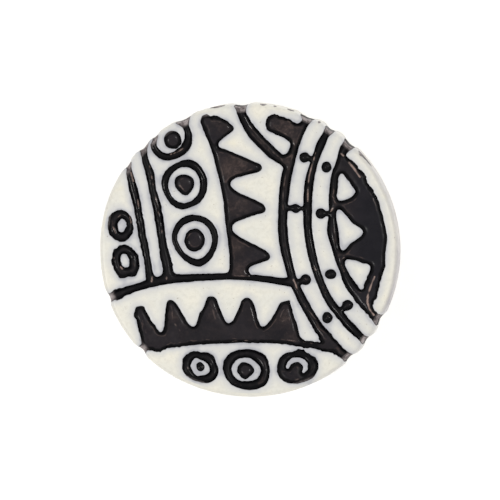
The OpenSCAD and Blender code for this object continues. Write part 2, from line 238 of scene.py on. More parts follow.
# ---- Relief raster ----
axis_points = np.arange(-RASTER_HALF, RASTER_HALF + RASTER_STEP / 2, RASTER_STEP)
gx, gy = np.meshgrid(axis_points, axis_points, indexing="ij")
raster_xy = np.stack([gx, gy], axis=-1)
flat_xy = clamped(raster_xy.reshape(-1, 2))
raster_d, raster_node = nearest_wall(flat_xy)
raster_d = np.where(inside(flat_xy), raster_d, -raster_d).reshape(gx.shape)
raster_node = raster_node.reshape(gx.shape)

# Places where the carver's tool chattered: x, y, radius and strength in mm
CHATTER = [
    (20.5, 12.5, 4.5, 0.16), (21.6, -8, 4.5, 0.18), (-6, 22.4, 3, 0.16), (-22.6, -7.2, 1.6, 0.16),
    (-21.5, 4.2, 3, 0.1), (-21.3, -2.3, 3, 0.14), (-13, -17, 5, 0.12), (12, -16.6, 4.5, 0.12),
    (3, -16, 8, 0.05), (4.5, 21.8, 3, 0.14), (-13, 4, 9, 0.04)]
# Thin necks and full dots beside the arcs: x, y, radius, and how far the edge of the ink moves
SPOTS = [
    (6.65, 7.1, 0.4, -0.16), (8.75, 6.85, 0.35, -0.16), (7.65, 6.95, 0.7, 0.12), (8.7, -16.5, 0.5, -0.16),
    (13.7, -10.6, 0.35, -0.15), (-15.9, -4.7, 0.45, 0.25), (-14.4, -4.4, 0.45, 0.25),
    (-12.65, -4.06, 0.5, 0.3), (-3.37, -3.9, 0.4, 0.25), (-18.71, -9.72, 0.3, 0.2),
    (-17.62, -9.58, 0.3, 0.16), (-19.1, -11.07, 0.35, 0.12), (-6.87, -8.05, 0.3, 0.13),
    (-5.56, -8.36, 0.45, 0.16), (-8.37, -10.51, 0.5, 0.14), (6.58, -8.49, 0.28, 0.24),
    (5.16, -9, 0.4, 0.12), (8.57, -14.81, 0.4, 0.14), (-12.74, -2.4, 0.22, 0.2),
    (-12.97, -3.27, 0.25, -0.1), (-22.41, -6.53, 0.22, 0.2)]
# Raised burrs and tool streaks on the floors of the grooves, whose colour also carries a painted highlight:
# points, width and how strongly they shine
STREAKS = [
    ([(-19.7, 12.8), (-19.3, 11.3)], 0.17, 0.7), ([(-18.6, 8.3), (-18.4, 7)], 0.16, 0.6),
    ([(-16.6, 13.9), (-16.1, 11.3), (-15.7, 9.3), (-15.1, 5.9)], 0.16, 0.6),
    ([(-7.2, 20.9), (-6.9, 21.3), (-6.2, 21.2)], 0.18, 0.45),
    ([(-13.2, 15.8), (-12.1, 16.1), (-11, 16.8)], 0.15, 0.85), ([(-22.7, 3.7), (-22.3, 2.7)], 0.16, 0.8),
    ([(-20, 5.9), (-19.6, 4.3)], 0.16, 0.7), ([(-22, 5.3), (-21.4, 5.8)], 0.15, 0.5),
    ([(-11.6, 10.7), (-11, 10)], 0.2, 0.5), ([(-10.3, 1.9), (-9.9, 2.6), (-9.2, 2.9)], 0.17, 0.45),
    ([(-14.6, 3.4), (-14.5, 2.7)], 0.15, 0.6),
    ([(0.1, 20.6), (1, 19), (2.9, 16.9), (5.3, 15), (6, 14), (6, 12.3), (5.6, 9.6), (5.6, 6.6)], 0.25, 0.4),
    ([(7.1, 18.5), (7.5, 17.2), (7.1, 15.8), (6, 14.4)], 0.22, 0.35),
    ([(3.5, 20.9), (4.8, 19.8), (6.9, 18.7)], 0.17, 0.45),
    ([(4.1, 22.3), (5.5, 21.7), (7.5, 20.7)], 0.17, 0.5),
    ([(11, 16), (10.4, 14), (9.9, 12.1), (9.7, 9.9), (9.7, 8)], 0.16, 0.75),
    ([(13.9, 11), (14, 9.7), (13.8, 8.8), (14.2, 7.8)], 0.16, 0.5), ([(13.5, 6.3), (13.9, 7)], 0.18, 0.7),
    ([(15.2, 15.9), (15.6, 15.5)], 0.18, 0.8), ([(16.5, 14.4), (17.4, 13.3), (18.3, 12)], 0.18, 1.0),
    ([(16, 13.9), (17.5, 11.2)], 0.2, 0.3), ([(-21.5, -2.9), (-21.2, -3.2)], 0.2, 1.0),
    ([(-22.7, -1.2), (-22.5, -1.5)], 0.16, 0.5), ([(-16.2, -4.5), (-16.3, -5.3)], 0.2, 0.7),
    ([(-13.8, -4.5), (-13.8, -4.9)], 0.2, 0.7),
    ([(-11.8, -4.5), (-8.9, -4.5), (-5.7, -4.3), (-2.6, -4.3)], 0.16, 0.25),
    ([(-2.6, -4.3), (-0, -4.4)], 0.18, 0.5), ([(-18.2, -10.4), (-17.8, -12.2), (-17.3, -13.9)], 0.22, 0.3),
    ([(-13.1, -9.3), (-12.7, -11.9), (-11.6, -13.6)], 0.24, 0.5), ([(-6.4, -9), (-5.7, -11.5)], 0.35, 0.3),
    ([(-1, -8.7), (-0.5, -10.3)], 0.3, 0.3), ([(-2.9, -15.2), (-0, -15)], 0.15, 0.5),
    ([(-10.6, -19.2), (-10.3, -19.8)], 0.17, 0.6), ([(-8.8, -17.8), (-8, -17.7)], 0.17, 0.45),
    ([(7.3, -5), (7.6, -5.6), (7.9, -6.6)], 0.16, 0.9),
    ([(8.5, -8), (9.4, -9.6), (10.9, -11.5)], 0.17, 0.5), ([(10.7, -2.8), (11, -3.4)], 0.16, 0.7),
    ([(12.1, -6), (12.6, -7.2)], 0.16, 0.6), ([(15.2, -2.5), (15.7, -3.7)], 0.16, 0.6),
    ([(20.7, -4.5), (20.2, -5.7), (19.6, -7.4), (19.5, -8.7), (19.8, -9.8), (20.6, -10.9)], 0.18, 1.0),
    ([(15.3, -1.6), (15.7, -1.3)], 0.18, 0.6),
    ([(4.8, -11.9), (5.4, -10.3), (6, -9.6), (6.4, -10.6), (6.7, -12.2)], 0.16, 0.45),
    ([(5.3, -12), (6.3, -11.4)], 0.16, 0.4), ([(6.1, -15), (8.7, -15.3), (11.8, -15.8)], 0.15, 0.5),
    ([(6.3, -17.8), (7.1, -17.6)], 0.16, 0.4), ([(7.2, -21.7), (8.7, -21.4)], 0.17, 0.4),
    ([(9.1, 15.2), (9.35, 15.45)], 0.14, 0.5), ([(12.6, 13.7), (12.9, 13.95)], 0.14, 0.5),
    ([(7.6, 7.1), (7.85, 6.8)], 0.13, 0.4), ([(11.8, 6.3), (11.9, 5.9)], 0.13, 0.45),
    ([(9.2, -4.7), (9.45, -5)], 0.13, 0.55), ([(13.4, -3.95), (13.7, -4.15)], 0.13, 0.45),
    ([(16.1, -9.4), (16.4, -9.1)], 0.13, 0.45), ([(12.9, -10.9), (13.1, -11.2)], 0.14, 0.6),
    ([(5.56, -19.8), (6.27, -20.94), (7.7, -21.5), (9.1, -21.1), (10.2, -19.8), (10.5, -18.55)], 0.14, 0.3),
    ([(-3.7, -21.2), (-2.9, -22.1), (-1.3, -22.6)], 0.14, 0.35), ([(2.15, -21.2), (2.8, -19.8)], 0.14, 0.25)]
BASE_ROUGHNESS = 0.042     # how uneven the edge of the ink is everywhere, in mm
INK_SPREAD = 0.07          # how far the ink reaches past the CAD's edge
rough = np.full(gx.shape, BASE_ROUGHNESS)
for middle_x, middle_y, radius, strength in CHATTER:
    rough += strength * hill(gx, gy, middle_x, middle_y, radius)
# The edge of the ink, softened at its corners and a little uneven
raster_d = blurred(raster_d, 1.4) + INK_SPREAD
for middle_x, middle_y, radius, amount in SPOTS:
    raster_d += amount * hill(gx, gy, middle_x, middle_y, radius)
raster_d += 0.7 * rough * (lattice_noise(raster_xy, 1.1, 12) + lattice_noise(raster_xy, 0.45, 13))
raster_d += 0.6 * np.clip(rough - 0.05, 0, 1) * lattice_noise(raster_xy, 0.28, 14)
slope_x, slope_y = np.gradient(raster_d, RASTER_STEP)
# Breadth of the white left between the grooves: the greatest gap to ink within 1 mm
breadth = greatest_near(np.clip(-raster_d, 0, None), 10)
# Room in the ink's grooves: the greatest distance to their walls within 0.8 mm
room = greatest_near(np.clip(raster_d, 0, None), 8)
# Depth of the carving: a rounded wall inside the edge of the ink, and a soft shoulder outside it
jitter = 0.6 * lattice_noise(raster_xy, 0.55, 3) + 0.4 * lattice_noise(raster_xy, 1.1, 4)
ink_in = np.clip(raster_d + rough * jitter * np.clip(raster_d / 0.15, 0, 1), 0, None)
depth = CARVE_DEPTH * (1 - (1 - np.clip(ink_in / WALL_WIDTH, 0, 1)) ** WALL_POWER)
shoulder = SHOULDER_DROP * np.exp(-np.clip(-raster_d, 0, 10) / SHOULDER_WIDTH)
depth = np.where(raster_d > 0, SHOULDER_DROP + depth * (1 - SHOULDER_DROP / CARVE_DEPTH), shoulder)
# Uneven floors, and slight swells of the cream
floor_share = np.clip(raster_d / WALL_WIDTH, 0, 1)
depth += floor_share * (0.035 * lattice_noise(raster_xy, 2.6, 5) + 0.016 * lattice_noise(raster_xy, 0.9, 6))
swells = 0.018 * lattice_noise(raster_xy, 6.5, 8) + 0.006 * lattice_noise(raster_xy, 2.4, 9)
depth += (1 - floor_share) * swells
depth = blurred(depth, 0.9)


def streak_raster():
    """How strongly each place shines as a burr or streak, from 0 to about 1."""
    streak = np.zeros(gx.shape)
    for points, width, shine in STREAKS:
        away = np.full(gx.shape, 9.0)
        for (ax, ay), (bx, by) in zip(points[:-1], points[1:]):
            t = ((gx - ax) * (bx - ax) + (gy - ay) * (by - ay)) / ((bx - ax) ** 2 + (by - ay) ** 2)
            t = np.clip(t, 0, 1)
            away = np.minimum(away, np.hypot(gx - ax - t * (bx - ax), gy - ay - t * (by - ay)))
        streak = np.maximum(streak, shine * np.exp(-(away / (0.8 * width)) ** 2))
    broken = np.clip(0.85 + 0.6 * lattice_noise(raster_xy, 0.6, 15), 0.2, 1.3)
    return streak * (np.clip(raster_d / 0.15 - 0.6, 0, 1) * broken)


# The foot of the walls is rounded, and the burrs stand up from the floor
BURR_HEIGHT = 0.09
streak = streak_raster()
round_share = np.clip((raster_d - 0.1) / 0.2, 0, 1)
depth += round_share * (blurred(depth, 3.2) - depth)
depth -= BURR_HEIGHT * streak
depth_dx, depth_dy = np.gradient(depth, RASTER_STEP)


def sampled(raster, xy):
    """Bilinear reading of a raster."""
    q = (xy + RASTER_HALF) / RASTER_STEP
    i = np.clip(np.floor(q).astype(int), 0, len(axis_points) - 2)
    f = q - i
    x, y = i[:, 0], i[:, 1]
    low = raster[x, y] * (1 - f[:, 0]) + raster[x + 1, y] * f[:, 0]
    high = raster[x, y + 1] * (1 - f[:, 0]) + raster[x + 1, y + 1] * f[:, 0]
    return low * (1 - f[:, 1]) + high * f[:, 1]


def field(points):
    """Distance to the edge of the ink at plan points, above zero on ink."""
    return sampled(raster_d, clamped(points))


def onto_edge(points, rounds=2):
    """Plan points moved onto the edge of the ink."""
    for _ in range(rounds):
        g = np.column_stack([sampled(slope_x, points), sampled(slope_y, points)])
        points = points - g * (sampled(raster_d, points) / np.maximum((g * g).sum(axis=1), 0.2))[:, None]
    return points


# ---- Base surface ----
def polar(points):
    """Distance and angle of plan points about the middle of the outline."""
    q = points[:, :2] - OVAL_CENTRE
    return np.linalg.norm(q, axis=1), np.arctan2(q[:, 1], q[:, 0])


def face_share(points):
    """Distance from the middle as a share of the face inside its round edge."""
    r, angle = polar(points)
    return np.minimum(r / (outline_radius(angle) - EDGE_WIDTH), 1)


def outline_radius(angle):
    """Radius of the oval outline in mm."""
    a = angle - OVAL_TURN
    oval = OVAL_LONG * OVAL_SHORT / np.sqrt((OVAL_SHORT * np.cos(a)) ** 2 + (OVAL_LONG * np.sin(a)) ** 2)
    for at, reach, height in SWELLS:
        off = (np.degrees(angle) - at + 180) % 360 - 180
        oval = oval + height * np.exp(-(off / reach) ** 2)
    return oval


def face_z(share):
    """Height of the plain face at a share of its radius."""
    return CAKE_TOP - FACE_FALL * share ** FACE_POWER


def face_slope(share):
    """Slope of the plain face at a share of its radius."""
    return -FACE_FALL * FACE_POWER * share ** (FACE_POWER - 1)


# A square grid bent round, so that its outer cells follow the outline
ticks = np.linspace(-1, 1, CELLS + 1)
u, v = np.meshgrid(ticks, ticks, indexing="ij")
u, v = u.ravel(), v.ravel()
wide = np.abs(u) > np.abs(v)
share = np.where(wide, u, v)
safe = np.where(np.abs(share) < 1e-12, 1, share)
turn = np.where(wide, math.pi / 4 * v / safe, math.pi / 2 - math.pi / 4 * u / safe)
angle = np.where(share < 0, turn + math.pi, turn)
share = np.abs(share)
radius = share * (outline_radius(angle) - EDGE_WIDTH)
xy = np.stack([radius * np.cos(angle), radius * np.sin(angle)], axis=1) + OVAL_CENTRE
index = np.arange((CELLS + 1) ** 2).reshape(CELLS + 1, CELLS + 1)


def face_triangles(d):
    """Triangles of the face's grid. Each cell is split along the diagonal that follows the ink better."""
    a, b = index[:-1, :-1].ravel(), index[1:, :-1].ravel()
    c, e = index[1:, 1:].ravel(), index[:-1, 1:].ravel()
    first = np.abs(d[a] - d[c]) <= np.abs(d[b] - d[e])
    return np.concatenate([
        np.column_stack([a, b, c])[first], np.column_stack([a, c, e])[first],
        np.column_stack([a, b, e])[~first], np.column_stack([b, c, e])[~first]])


def plan_area(tri, points):
    """Twice the area of triangles seen from above, below zero where one is folded over."""
    p, q, r = (points[tri[:, k]] for k in range(3))
    q, r = q - p, r - p
    return q[:, 0] * r[:, 1] - q[:, 1] * r[:, 0]


# Inner vertices close to an edge of the ink move onto it, unless that folds or flattens a triangle
SNAP_REACH = 0.42          # in cells
LEAST_AREA = 0.05          # in cells' areas
UNFOLD_ROUNDS = 10
cell = 2 * OVAL_SHORT / CELLS
d = field(xy)
free_xy, free_d = xy.copy(), d.copy()
snap = (share < 0.999) & (np.abs(d) < SNAP_REACH * cell)
xy[snap] = onto_edge(xy[snap])
d[snap] = 0
for _ in range(UNFOLD_ROUNDS):
    tri_top = face_triangles(d)
    flat = tri_top[plan_area(tri_top, xy) < LEAST_AREA * cell ** 2]
    moved = np.where(snap[flat], np.abs(free_d[flat]), -1.0)
    back = np.take_along_axis(flat, moved.argmax(axis=1)[:, None], axis=1)[moved.max(axis=1) >= 0, 0]
    if not len(back):
        break
    snap[back] = False
    xy[back], d[back] = free_xy[back], free_d[back]
# The outermost vertices of the face, in order of angle
ring = np.concatenate([index[-1, :-1], index[::-1, -1][:-1], index[0, ::-1][:-1], index[:, 0][:-1]])
ring_angle = np.unwrap(polar(xy[ring])[1])
if ring_angle[-1] < ring_angle[0]:
    ring, ring_angle = ring[::-1], ring_angle[::-1]


def side_rows():
    """Rows below the face: distance in from the outline, height, and share of the groove's depth."""
    side_share = SIDE_DEPTH / CARVE_DEPTH
    edge_z = face_z(1.0)
    rows = []
    for t in np.radians([12, 25, 38, 51, 64, 77, 90]):
        rows.append((EDGE_WIDTH * (1 - math.sin(t)) + FACE_DRAFT * math.sin(t),
                     edge_z - EDGE_DROP * (1 - math.cos(t)), 1 - (1 - side_share) * (t / (math.pi / 2))))
    wall_top = edge_z - EDGE_DROP
    for z in (8.5, 7.4, 6.3, 5.4, 4.9, 4.62, 4.5):
        rows.append((FACE_DRAFT * (z - PARTING_Z) / (wall_top - PARTING_Z), z, side_share))
    rows.append((-SEAM_STEP, PARTING_Z, side_share))
    foot_heights = (4.3, 3.6, 2.2, 0.8)
    foot_inset = 0.03
    for z in foot_heights:
        down = (foot_heights[0] - z) / (foot_heights[0] - foot_heights[-1])
        fade = min(1.0, (z - GROOVE_FOOT) / 2.2)
        rows.append((foot_inset + (BACK_DRAFT - foot_inset) * down, z, fade * side_share))
    for t in np.radians([30, 60, 90]):
        rows.append((BACK_DRAFT + BACK_EDGE * (1 - math.cos(t)), BACK_EDGE * (1 - math.sin(t)), 0.0))
    return rows


WALL_ROW = 6               # from this row down, all that belongs to the side wall is in full
rows = side_rows()
count_ring = len(ring)
inset, row_z, row_fade = (np.array(values)[:, None] + np.zeros(count_ring) for values in zip(*rows))
row_radius = outline_radius(ring_angle) - inset
row_x = row_radius * np.cos(ring_angle) + OVAL_CENTRE[0]
row_y = row_radius * np.sin(ring_angle) + OVAL_CENTRE[1]
row_xyz = np.stack([row_x, row_y, row_z], axis=2)

# All vertices: the face, then the rows
top_xyz = np.column_stack([xy, face_z(face_share(xy))])
plain = np.concatenate([top_xyz, row_xyz.reshape(-1, 3)])
d = np.concatenate([d, field(plain[len(top_xyz):, :2])])
top_count = len(top_xyz)
# The ink in the side grooves ends a little above the seam, raggedly and with rounded corners
side_xyz = plain[top_count:]
side_way = np.column_stack([np.arctan2(side_xyz[:, 1], side_xyz[:, 0]) * MEAN_RADIUS, side_xyz[:, 2]])
groove_end = INK_END + 0.35 * lattice_noise(side_way, 1.6, 16) + 0.12 * lattice_noise(side_way, 0.5, 17)
below = groove_end - side_xyz[:, 2]
side_d = d[top_count:] + 0.06 * lattice_noise(side_way, 0.6, 18)
ended = np.minimum(side_d, 0.7 * np.tanh(-below / 0.7)) - 0.25 * np.exp(-np.abs(below) / 0.3)
d[top_count:] = np.where(side_xyz[:, 2] < WALL_INK_Z, ended, side_d)
# How far each cream point is from ink. Down the side wall only the side grooves count
gap = np.clip(-d, 0, None)
exits = np.flatnonzero(d[ring] > 0)
turned = np.abs((ring_angle[:, None] - ring_angle[exits] + math.pi) % (2 * math.pi) - math.pi).min(axis=1)
side_gap = np.hypot(np.tile(turned * OVAL_LONG, len(rows)), np.clip(below, 0, None))
down_share = np.repeat(np.clip(np.arange(len(rows)) / (WALL_ROW - 1), 0, 1), count_ring)
gap[top_count:] = gap[top_count:] * (1 - down_share) + side_gap * down_share


def row_normals(column):
    """Outward normals of rings of points one below the other, by differences down and along them."""
    down = np.gradient(column, axis=0)
    along = np.roll(column, -1, axis=1) - np.roll(column, 1, axis=1)
    normals = np.cross(down, along)
    normals /= np.maximum(np.linalg.norm(normals, axis=2, keepdims=True), 1e-12)
    low = WALL_ROW + 2
    if (normals[low, :, :2] * column[low, :, :2]).sum() < 0:
        normals = -normals
    return normals


plain_row_normal = row_normals(np.concatenate([top_xyz[ring][None], row_xyz]))

# The carved surface: the face goes down by the carving's depth, and the side goes in by its own share of it
groove = sampled(depth, clamped(plain[:, :2]))
surface = plain.copy()
surface[:top_count, 2] -= groove[:top_count]
row_groove = groove[top_count:].reshape(row_fade.shape) * row_fade
# Beside a groove the rim is rounded off
rim_edge = field(plain[top_count:, :2]).reshape(row_fade.shape)
rim_gap = np.where(rim_edge < 0, -rim_edge / RIM_ROUND_WIDTH, rim_edge / RIM_ROUND_INNER)
round_rows = np.clip(np.arange(1, len(rows) + 1) / WALL_ROW, 0, 1)[:, None]
round_rows = round_rows * np.minimum(row_fade * CARVE_DEPTH / SIDE_DEPTH, 1)
row_groove += RIM_ROUND * round_rows * np.exp(-rim_gap ** 2)
surface[top_count:] -= (plain_row_normal[1:] * row_groove[..., None]).reshape(-1, 3)


def relief_normal(points):
    """Normal of the carved face at plan points."""
    r, angle = polar(points)
    reach = outline_radius(angle) - EDGE_WIDTH
    slope = face_slope(np.minimum(r / reach, 1)) / reach
    rise_x = slope * np.cos(angle) - sampled(depth_dx, points)
    rise_y = slope * np.sin(angle) - sampled(depth_dy, points)
    n = np.column_stack([-rise_x, -rise_y, np.ones(len(points))])
    return n / np.linalg.norm(n, axis=1, keepdims=True)


normal = np.zeros_like(surface)
normal[:top_count] = relief_normal(surface[:top_count, :2])
row_normal = row_normals(np.concatenate([surface[ring][None], surface[top_count:].reshape(row_xyz.shape)]))
normal[top_count:] = row_normal[1:].reshape(-1, 3)
ring_mix = normal[ring] + row_normal[0]
normal[ring] = ring_mix / np.linalg.norm(ring_mix, axis=1, keepdims=True)

row_number = np.concatenate([np.zeros(top_count), np.repeat(np.arange(1, len(rows) + 1), count_ring)])

# ---- Triangles ----
strip_rows = [ring] + [top_count + k * count_ring + np.arange(count_ring) for k in range(len(rows))]
tri = [tri_top]
for upper, lower in zip(strip_rows[:-1], strip_rows[1:]):
    upper_next, lower_next = np.roll(upper, -1), np.roll(lower, -1)
    tri += [np.column_stack([upper, lower, lower_next]), np.column_stack([upper, lower_next, upper_next])]
tri = np.concatenate(tri)


def outward(tri, xyz):
    """Triangles turned to face away from the middle of the cake."""
    p = xyz[tri]
    n = np.cross(p[:, 1] - p[:, 0], p[:, 2] - p[:, 0])
    away = p.mean(axis=1) - np.array([0, 0, CAKE_TOP / 2])
    away[:, 2] *= 4
    flip = (n * away).sum(axis=1) < 0
    tri = tri.copy()
    tri[flip] = tri[flip][:, [0, 2, 1]]
    return tri


tri = outward(tri, plain)


def cut(tri, value, data):
    """Splits triangles where value changes sign.

    New vertices, where value is 0, join value and data. Returns the triangles, value, data, and the edges
    that the new vertices lie on.
    """
    sign = np.sign(value)
    s = sign[tri]
    mixed = (s.max(axis=1) > 0) & (s.min(axis=1) < 0)
    keep, t = tri[~mixed], tri[mixed]
    edges = np.sort(np.concatenate([t[:, [0, 1]], t[:, [1, 2]], t[:, [2, 0]]]), axis=1)
    edges = np.unique(edges[sign[edges[:, 0]] * sign[edges[:, 1]] < 0], axis=0)
    base = len(value)
    share = value[edges[:, 0]] / (value[edges[:, 0]] - value[edges[:, 1]])
    between = data[edges[:, 0]] * (1 - share)[:, None] + data[edges[:, 1]] * share[:, None]
    data = np.concatenate([data, between])
    value = np.concatenate([value, np.zeros(len(edges))])
    sign = np.sign(value)
    code = edges[:, 0].astype(np.int64) * base + edges[:, 1]

    def middle(p, q):
        lo, hi = np.minimum(p, q), np.maximum(p, q)
        return base + np.searchsorted(code, lo.astype(np.int64) * base + hi)

    s = sign[t]
    zero = (s == 0).any(axis=1)
    parts = [keep]
    z = t[zero]
    if len(z):
        turn_by = (sign[z] == 0).argmax(axis=1)
        z = np.take_along_axis(z, (np.arange(3)[None] + turn_by[:, None]) % 3, axis=1)
        m = middle(z[:, 1], z[:, 2])
        parts += [np.column_stack([z[:, 0], z[:, 1], m]), np.column_stack([z[:, 0], m, z[:, 2]])]
    w = t[~zero]
    if len(w):
        s = sign[w]
        lone = (s == -np.sign(s.sum(axis=1))[:, None]).argmax(axis=1)
        w = np.take_along_axis(w, (np.arange(3)[None] + lone[:, None]) % 3, axis=1)
        m1, m2 = middle(w[:, 0], w[:, 1]), middle(w[:, 0], w[:, 2])
        parts += [np.column_stack([w[:, 0], m1, m2]), np.column_stack([m1, w[:, 1], w[:, 2]]),
                  np.column_stack([m1, w[:, 2], m2])]
    return np.concatenate(parts), value, data, edges


axis_up = np.zeros_like(surface)
axis_up[:top_count, 2] = 1
axis_up[top_count:] = plain_row_normal[1:].reshape(-1, 3)
ROW_COLUMN = 6             # where data holds the row number
data = np.column_stack([surface, normal, row_number, axis_up, gap])
before = len(d)
tri, d, data, cut_edges = cut(tri, d, data)
# New vertices on the face move exactly onto the edge of the ink, unless that folds a triangle
new = before + np.flatnonzero((row_number[cut_edges] == 0).all(axis=1))
placed = onto_edge(data[new, :2])
near = np.linalg.norm(placed - data[new, :2], axis=1) < 0.1
new, placed = new[near], placed[near]
spot = data[:, :2].copy()
spot[new] = placed
face_tri = tri[(data[tri, ROW_COLUMN] == 0).all(axis=1)]
for _ in range(UNFOLD_ROUNDS):
    back = np.intersect1d(face_tri[plan_area(face_tri, spot) <= 0], new)
    if not len(back):
        break
    new = np.setdiff1d(new, back)
    spot[back] = data[back, :2]
data[new, :2] = spot[new]
data[new, 2] = face_z(face_share(spot[new])) - sampled(depth, clamped(spot[new]))
surface, normal = data[:, :3], data[:, 3:6]
row_number, axis_up, gap = data[:, ROW_COLUMN], data[:, 7:10], data[:, 10]

# The two sides of an ink edge have their own normals, each read a little way off the edge
INK_SIDE = 0.12
CREAM_SIDE = 0.15
on_edge = (d == 0) & (row_number == 0)
edge_points = surface[on_edge, :2]
inward = np.column_stack([sampled(slope_x, edge_points), sampled(slope_y, edge_points)])
inward /= np.maximum(np.linalg.norm(inward, axis=1, keepdims=True), 1e-9)
ink_normal, cream_normal = normal.copy(), normal.copy()
ink_normal[on_edge] = relief_normal(edge_points + INK_SIDE * inward)
cream_normal[on_edge] = relief_normal(edge_points - CREAM_SIDE * inward)

# Each ink triangle belongs to the CAD node whose wall is nearest
on_ink = d[tri].sum(axis=1) > 0
middle_cell = np.round((clamped(surface[tri, :2].mean(axis=1)) + RASTER_HALF) / RASTER_STEP).astype(int)
tri_owner = np.where(on_ink, raster_node[middle_cell[:, 0], middle_cell[:, 1]], -1)


# ---- Meshes ----
def border_edges(tri):
    """Directed edges that only one triangle uses."""
    edges = np.concatenate([tri[:, [0, 1]], tri[:, [1, 2]], tri[:, [2, 0]]]).astype(np.int64)
    big = int(edges.max()) + 1
    code, back = edges[:, 0] * big + edges[:, 1], edges[:, 1] * big + edges[:, 0]
    return edges[~np.isin(code, back)]


def build(name, xyz, tri, normals, attributes, material):
    """A mesh piece from arrays in mm, with its own normals and attributes."""
    used, compact = np.unique(tri, return_inverse=True)
    tri = compact.reshape(-1, 3)
    mesh = bpy.data.meshes.new(name)
    mesh.vertices.add(len(used))
    mesh.vertices.foreach_set("co", (xyz[used] * MM).astype(np.float32).ravel())
    mesh.loops.add(tri.size)
    mesh.loops.foreach_set("vertex_index", tri.astype(np.int32).ravel())
    mesh.polygons.add(len(tri))
    mesh.polygons.foreach_set("loop_start", np.arange(0, tri.size, 3, dtype=np.int32))
    mesh.update(calc_edges=True)
    mesh.polygons.foreach_set("use_smooth", np.ones(len(tri), bool))
    for key, values in attributes.items():
        layer = mesh.attributes.new(key, "FLOAT", "POINT")
        layer.data.foreach_set("value", values[used].astype(np.float32))
    mesh.normals_split_custom_set_from_vertices(normals[used].tolist())
    obj = bpy.data.objects.new(name, mesh)
    bpy.context.scene.collection.objects.link(obj)
    obj.data.materials.append(material)
    return obj


def coated(tri, top, under, top_normals, extra):
    """A closed film between its top and its underside: vertices, triangles, normals and attributes."""
    count = len(top)
    a, b = border_edges(tri).T
    skirt = np.concatenate([np.column_stack([b, a, a + count]), np.column_stack([b, a + count, b + count])])
    faces = np.concatenate([tri, tri[:, ::-1] + count, skirt])
    xyz = np.concatenate([top, under])
    normals = np.concatenate([top_normals, -top_normals])
    return xyz, faces, normals, {k: np.concatenate([v, v]) for k, v in extra.items()}


# ---- Materials ----
class Nodes:
    """Short calls for making a node material."""

    def __init__(self, name):
        self.material = bpy.data.materials.new(name)
        self.material.use_nodes = True
        self.tree = self.material.node_tree
        self.shader = self.tree.nodes["Principled BSDF"]

    def put(self, socket, value):
        """Links or sets an input."""
        if hasattr(value, "is_output"):
            self.tree.links.new(value, socket)
        elif value is not None:
            socket.default_value = value

    def add(self, kind, inputs=(), **settings):
        """A new node with its inputs and settings."""
        n = self.tree.nodes.new(kind)
        for k, value in settings.items():
            setattr(n, k, value)
        for k, value in dict(inputs).items():
            self.put(n.inputs[k], value)
        return n

    def attribute(self, name):
        return self.add("ShaderNodeAttribute", attribute_name=name).outputs["Fac"]

    def noise(self, scale, detail=2.0, rough=0.5, offset=0.0):
        """Noise in the cake's own space. The offset gives each use its own part of it."""
        place = self.add("ShaderNodeTexCoord").outputs["Object"]
        if offset:
            moved = {0: place, 1: (offset, offset, offset)}
            place = self.add("ShaderNodeVectorMath", moved, operation="ADD").outputs[0]
        inputs = {"Vector": place, "Scale": scale, "Detail": detail, "Roughness": rough}
        return self.add("ShaderNodeTexNoise", inputs).outputs["Fac"]

    def streaks(self, scale, stretch, offset):
        """Noise drawn out along one direction, like sanding marks."""
        place = self.add("ShaderNodeTexCoord").outputs["Object"]
        inputs = {"Vector": place, "Location": (offset, offset, offset), "Rotation": (0, 0, 0.5),
                  "Scale": (1, stretch, 1)}
        place = self.add("ShaderNodeMapping", inputs).outputs[0]
        inputs = {"Vector": place, "Scale": scale, "Detail": 3.0, "Roughness": 0.6}
        return self.add("ShaderNodeTexNoise", inputs).outputs["Fac"]

    def ramp(self, value, low, high, to_low=0.0, to_high=1.0, smooth=True):
        """A value brought from one range to another, and held at its ends."""
        inputs = {"Value": value, "From Min": low, "From Max": high, "To Min": to_low, "To Max": to_high}
        kind = "SMOOTHSTEP" if smooth else "LINEAR"
        return self.add("ShaderNodeMapRange", inputs, interpolation_type=kind).outputs["Result"]

    def math(self, kind, a, b=None):
        return self.add("ShaderNodeMath", {0: a, 1: b}, operation=kind).outputs[0]

    def mix(self, share, a, b):
        m = self.add("ShaderNodeMix", data_type="RGBA")
        self.put(m.inputs["Factor"], share)
        self.put(m.inputs[6], a)
        self.put(m.inputs[7], b)
        return m.outputs[2]

    def bump(self, *layers):
        """Bump from (height, distance in metres) layers."""
        last = None
        for height, distance in layers:
            inputs = {"Height": height, "Distance": distance, "Normal": last}
            last = self.add("ShaderNodeBump", inputs).outputs["Normal"]
        self.put(self.shader.inputs["Normal"], last)


def linear(x):
    """A display value from 0 to 255 as linear light."""
    return ((x / 255 + 0.055) / 1.055) ** 2.4 if x > 10 else x / 255 / 12.92


def rgb(r, g, b):
    """A display colour as a linear one."""
    return linear(r), linear(g), linear(b), 1


